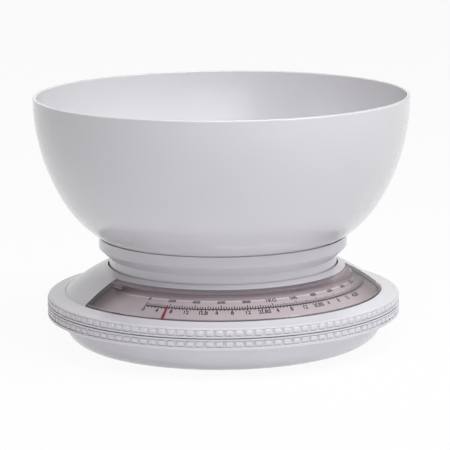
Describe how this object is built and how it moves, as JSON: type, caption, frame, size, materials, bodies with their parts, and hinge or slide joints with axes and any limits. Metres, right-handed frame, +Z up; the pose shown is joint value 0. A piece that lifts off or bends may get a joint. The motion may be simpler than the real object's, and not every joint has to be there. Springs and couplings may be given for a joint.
{
  "type": "analogue kitchen scale",
  "caption": "White mechanical kitchen scale with a lift-off mixing bowl, a curved dial window and a turning cover that zeroes the dial.",
  "frame": {"origin": "on the table under the middle of the base", "axes": "+Z up along the axis of the round body; the middle of the dial window faces -Y"},
  "size_m": [0.25, 0.25, 0.1677],
  "materials": {
    "white_casing": "glossy white moulded plastic",
    "white_bowl": "glossy white moulded plastic",
    "foot_rubber": "soft grey rubber",
    "white_nylon": "natural nylon",
    "zinc_steel": "zinc-plated pressed steel",
    "screw_steel": "zinc-plated",
    "pin_steel": "ground steel",
    "gear_brass": "turned brass",
    "light_alloy": "bare strip",
    "pointer_red": "red plastic",
    "spring_steel": "oiled spring wire",
    "clear_lens": "clear polystyrene pane, glossy",
    "dial_white": "off-white printed plate"
  },
  "bodies": {
    "base": {"base_pan": "white_casing", "rubber_feet": "foot_rubber", "glide_pads": "white_nylon", "chassis": "zinc_steel", "chassis_screws": "screw_steel", "frame_pivot_pins": "pin_steel", "crank_pivot_pin": "pin_steel", "footstep_bearing": "gear_brass", "upper_bush": "gear_brass", "rack_guides": "white_nylon", "lower_spring_seats": "white_nylon", "left_weighing_spring": "spring_steel", "right_weighing_spring": "spring_steel"},
    "cover": {"top_cover": "white_casing", "window_lens": "clear_lens", "dial_plate": "dial_white", "dial_screws": "screw_steel"},
    "platform": {"platform_dish": "white_casing", "load_bracket": "zinc_steel", "bracket_screws": "screw_steel", "link_pins": "pin_steel", "crank_drive_pin": "pin_steel", "upper_spring_seats": "white_nylon"},
    "lower_lever": {"lower_arm": "zinc_steel"},
    "upper_lever": {"upper_arm": "zinc_steel"},
    "crank": {"bell_crank": "zinc_steel", "crank_tip_pin": "pin_steel"},
    "rack": {"rack": "white_nylon"},
    "pointer": {"spindle": "pin_steel", "spindle_clip": "pin_steel", "pinion": "gear_brass", "pointer_hub": "gear_brass", "pointer_arm": "light_alloy", "pointer_finger": "pointer_red"},
    "bowl": {"bowl": "white_bowl"}
  },
  "joints": [
    {"name": "platform_travel", "type": "slide", "parent": "base", "child": "platform", "axis": [0, 0, 1], "range_m": [-0.00506, 0.00044], "stiffness_N_per_m": 4189.4, "springref_m": 0.00092, "deforming": ["left_weighing_spring", "right_weighing_spring"]},
    {"name": "bowl_lift", "type": "slide", "parent": "platform", "child": "bowl", "axis": [0, 0, 1], "range_m": [0, 0.12]},
    {"name": "cover_turn", "type": "hinge", "parent": "base", "child": "cover", "pos_m": [0, 0, 0.0283], "axis": [0, 0, 1], "continuous": true},
    {"name": "lower_arm_swing", "type": "hinge", "parent": "base", "child": "lower_lever", "pos_m": [-0.043, 0, 0.031], "axis": [0, 1, 0], "range_deg": [-0.46, 5.28]},
    {"name": "upper_arm_swing", "type": "hinge", "parent": "base", "child": "upper_lever", "pos_m": [-0.043, 0, 0.045], "axis": [0, 1, 0], "range_deg": [-0.46, 5.28]},
    {"name": "crank_swing", "type": "hinge", "parent": "base", "child": "crank", "pos_m": [0.028, -0.007, 0.036], "axis": [0, 1, 0], "range_deg": [-21.18, 1.83]},
    {"name": "rack_slide", "type": "slide", "parent": "base", "child": "rack", "axis": [1, 0, 0], "range_m": [-0.00068, 0.00785]},
    {"name": "pointer_turn", "type": "hinge", "parent": "base", "child": "pointer", "pos_m": [0, 0, 0.009], "axis": [0, 0, 1], "range_deg": [-9.72, 112.44]}
  ],
  "couplings": [
    {"joint": "lower_arm_swing", "follows": "platform_travel", "rad_per_m": -18.182},
    {"joint": "upper_arm_swing", "follows": "platform_travel", "rad_per_m": -18.182},
    {"joint": "crank_swing", "follows": "platform_travel", "rad_per_m": 72.993},
    {"joint": "rack_slide", "follows": "platform_travel", "ratio": -1.5499},
    {"joint": "pointer_turn", "follows": "platform_travel", "rad_per_m": -387.46}
  ]
}
